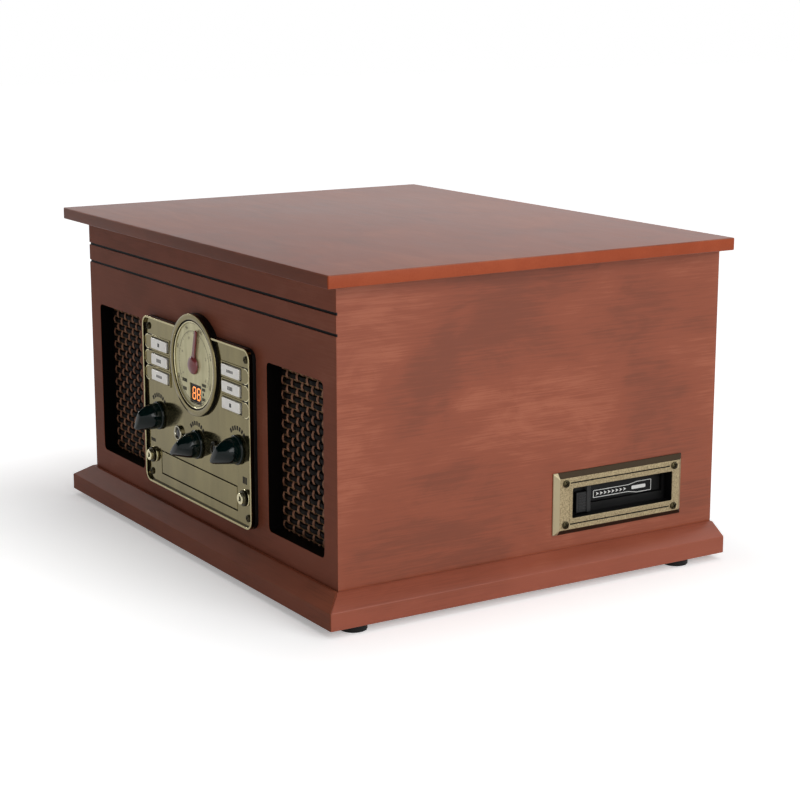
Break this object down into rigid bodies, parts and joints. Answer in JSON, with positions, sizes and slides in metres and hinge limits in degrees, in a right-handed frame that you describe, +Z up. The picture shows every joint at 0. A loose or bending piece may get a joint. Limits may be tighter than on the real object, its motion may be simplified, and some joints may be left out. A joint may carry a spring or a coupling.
{
  "type": "stereo music centre",
  "caption": "Wooden table-top stereo music centre: record deck under a hinged lid, front panel with tuning dial, keys and disc drawer, side cassette slot, woven speaker grilles.",
  "frame": {"origin": "centre of the overall box, on the surface the feet stand on", "axes": "+X to the right seen from the front, +Y to the back, +Z up"},
  "size_m": [0.43, 0.354, 0.241],
  "materials": {
    "wood_front": "satin mahogany stain",
    "wood_side": "satin mahogany stain",
    "wood_lid": "satin mahogany stain",
    "wood_raw": "bare wood",
    "board_dark": "dark stained board",
    "rubber_black": "matte",
    "grille_weave": "woven cane",
    "metal_dark": "matte black",
    "cone_paper": "matte paper",
    "plastic_black": "fine texture",
    "panel_gold": "aged brass lacquer",
    "ring_gold": "aged brass lacquer",
    "dial_cream": "printed cream gold",
    "display_red": "lit segments on black",
    "pointer_red": "translucent dusty red",
    "cord_pale": "braided cord",
    "knob_gloss": "high gloss",
    "button_white": "satin",
    "nickel": "polished",
    "tray_black": "smooth",
    "steel_sheet": "sheet",
    "gear_white": "smooth",
    "bezel_brass": "antique brass",
    "deck_black": "fine texture",
    "platter_grey": "machined",
    "mat_felt": "felt",
    "belt_rubber": "matte",
    "pulley_brass": "turned",
    "arm_black": "satin",
    "board_green": "circuit board",
    "core_steel": "laminated",
    "hinge_brass": "satin"
  },
  "bodies": {
    "cabinet": {"front_board": "wood_front", "left_side_panel": "wood_side", "right_side_panel": "wood_side", "back_panel": "board_dark", "bottom_board": "board_dark", "plinth_front": "wood_front", "plinth_left": "wood_side", "plinth_right": "wood_side", "corner_blocks": "wood_raw", "rubber_feet": "rubber_black", "left_grille_weave": "grille_weave", "right_grille_weave": "grille_weave", "speaker_boards": "wood_raw", "speaker_baskets": "metal_dark", "speaker_cones": "cone_paper", "panel_housing": "plastic_black", "panel_face": "panel_gold", "trim_screws": "bezel_brass", "dial_ring": "ring_gold", "dial_face": "dial_cream", "digit_display": "display_red", "dial_cord": "cord_pale", "aux_in_socket": "nickel", "headphone_socket": "nickel", "sensor_and_lamp": "nickel", "disc_chassis": "steel_sheet", "cassette_bezel": "bezel_brass", "cassette_chassis": "plastic_black", "record_deck": "deck_black", "platter_motor": "steel_sheet", "drive_belt": "belt_rubber", "main_circuit_board": "board_green", "power_transformer": "core_steel", "rear_sockets": "plastic_black", "cabinet_hinge_fittings": "hinge_brass"},
    "lid": {"lid_board": "wood_lid", "lid_hinge_fittings": "hinge_brass", "lid_stay": "hinge_brass"},
    "platter": {"platter": "platter_grey", "slip_mat": "mat_felt"},
    "motor_pulley": {"motor_pulley": "pulley_brass"},
    "tonearm_turret": {"tonearm_turret": "arm_black"},
    "tonearm": {"tonearm": "arm_black"},
    "cue_lever": {"cue_lever": "plastic_black"},
    "speed_selector": {"speed_selector": "plastic_black"},
    "dial_pointer": {"dial_pointer": "pointer_red"},
    "tuning_knob": {"tuning_knob": "knob_gloss"},
    "volume_knob": {"volume_knob": "knob_gloss"},
    "function_knob": {"function_knob": "knob_gloss"},
    "disc_drawer": {"drawer_front": "panel_gold", "disc_tray": "tray_black"},
    "drawer_gear": {"drawer_gear": "gear_white"},
    "cassette_flap": {"cassette_flap": "plastic_black"},
    "eject_button": {"eject_button": "plastic_black"},
    "button_left_top": {"button_left_top": "button_white"},
    "button_left_middle": {"button_left_middle": "button_white"},
    "button_left_bottom": {"button_left_bottom": "button_white"},
    "button_right_top": {"button_right_top": "button_white"},
    "button_right_middle": {"button_right_middle": "button_white"},
    "button_right_bottom": {"button_right_bottom": "button_white"}
  },
  "joints": [
    {"name": "lid_hinge", "type": "hinge", "parent": "cabinet", "child": "lid", "pos_m": [0, 0.17133, 0.232], "axis": [-1, 0, 0], "range_deg": [0, 65]},
    {"name": "platter_spin", "type": "hinge", "parent": "cabinet", "child": "platter", "pos_m": [-0.0302, 0.01002, 0.182], "axis": [0, 0, 1], "continuous": true},
    {"name": "pulley_spin", "type": "hinge", "parent": "cabinet", "child": "motor_pulley", "pos_m": [-0.09148, 0.06145, 0.182], "axis": [0, 0, 1], "continuous": true},
    {"name": "arm_swing", "type": "hinge", "parent": "cabinet", "child": "tonearm_turret", "pos_m": [0.155, 0.09002, 0.212], "axis": [0, 0, -1], "range_deg": [0, 51]},
    {"name": "arm_lift", "type": "hinge", "parent": "tonearm_turret", "child": "tonearm", "pos_m": [0.155, 0.09002, 0.212], "axis": [-1, 0, 0], "range_deg": [0, 3.3]},
    {"name": "cue_lever_turn", "type": "hinge", "parent": "cabinet", "child": "cue_lever", "pos_m": [0.155, 0.05203, 0.2055], "axis": [-1, 0, 0], "range_deg": [0, 40]},
    {"name": "speed_turn", "type": "hinge", "parent": "cabinet", "child": "speed_selector", "pos_m": [0.155, -0.10297, 0.182], "axis": [0, 0, 1], "range_deg": [-30, 30]},
    {"name": "tuning_turn", "type": "hinge", "parent": "cabinet", "child": "tuning_knob", "pos_m": [0.065, -0.15873, 0.0955], "axis": [0, 1, 0], "range_deg": [-189.53, 142.98]},
    {"name": "pointer_turn", "type": "hinge", "parent": "cabinet", "child": "dial_pointer", "pos_m": [0, -0.15873, 0.146], "axis": [0, 1, 0], "range_deg": [-108.8, 82.2]},
    {"name": "volume_turn", "type": "hinge", "parent": "cabinet", "child": "volume_knob", "pos_m": [-0.065, -0.15873, 0.0955], "axis": [0, 1, 0], "range_deg": [0, 290]},
    {"name": "function_turn", "type": "hinge", "parent": "cabinet", "child": "function_knob", "pos_m": [0, -0.15873, 0.086], "axis": [0, 1, 0], "range_deg": [0, 150]},
    {"name": "button_left_top_press", "type": "slide", "parent": "cabinet", "child": "button_left_top", "axis": [0, 1, 0], "range_m": [0, 0.001], "stiffness_N_per_m": 300, "springref_m": -0.001},
    {"name": "button_left_middle_press", "type": "slide", "parent": "cabinet", "child": "button_left_middle", "axis": [0, 1, 0], "range_m": [0, 0.001], "stiffness_N_per_m": 300, "springref_m": -0.001},
    {"name": "button_left_bottom_press", "type": "slide", "parent": "cabinet", "child": "button_left_bottom", "axis": [0, 1, 0], "range_m": [0, 0.001], "stiffness_N_per_m": 300, "springref_m": -0.001},
    {"name": "button_right_top_press", "type": "slide", "parent": "cabinet", "child": "button_right_top", "axis": [0, 1, 0], "range_m": [0, 0.001], "stiffness_N_per_m": 300, "springref_m": -0.001},
    {"name": "button_right_middle_press", "type": "slide", "parent": "cabinet", "child": "button_right_middle", "axis": [0, 1, 0], "range_m": [0, 0.001], "stiffness_N_per_m": 300, "springref_m": -0.001},
    {"name": "button_right_bottom_press", "type": "slide", "parent": "cabinet", "child": "button_right_bottom", "axis": [0, 1, 0], "range_m": [0, 0.001], "stiffness_N_per_m": 300, "springref_m": -0.001},
    {"name": "drawer_slide", "type": "slide", "parent": "cabinet", "child": "disc_drawer", "axis": [0, -1, 0], "range_m": [0, 0.13]},
    {"name": "gear_turn", "type": "hinge", "parent": "cabinet", "child": "drawer_gear", "pos_m": [0.04, -0.12097, 0.057], "axis": [0, 0, -1], "range_deg": [-2, 415.8]},
    {"name": "flap_swing", "type": "hinge", "parent": "cabinet", "child": "cassette_flap", "pos_m": [0.19125, 0.09102, 0.06665], "axis": [0, 1, 0], "range_deg": [0, 78], "stiffness_Nm_per_rad": 0.004, "springref_deg": -28.65},
    {"name": "eject_press", "type": "slide", "parent": "cabinet", "child": "eject_button", "axis": [-1, 0, 0], "range_m": [0, 0.003], "stiffness_N_per_m": 400, "springref_m": -0.001}
  ],
  "couplings": [
    {"joint": "pulley_spin", "follows": "platter_spin", "ratio": 12.4},
    {"joint": "arm_lift", "follows": "cue_lever_turn", "ratio": 0.08},
    {"joint": "pointer_turn", "follows": "tuning_turn", "ratio": 0.57143},
    {"joint": "gear_turn", "follows": "drawer_slide", "rad_per_m": 55.556}
  ]
}
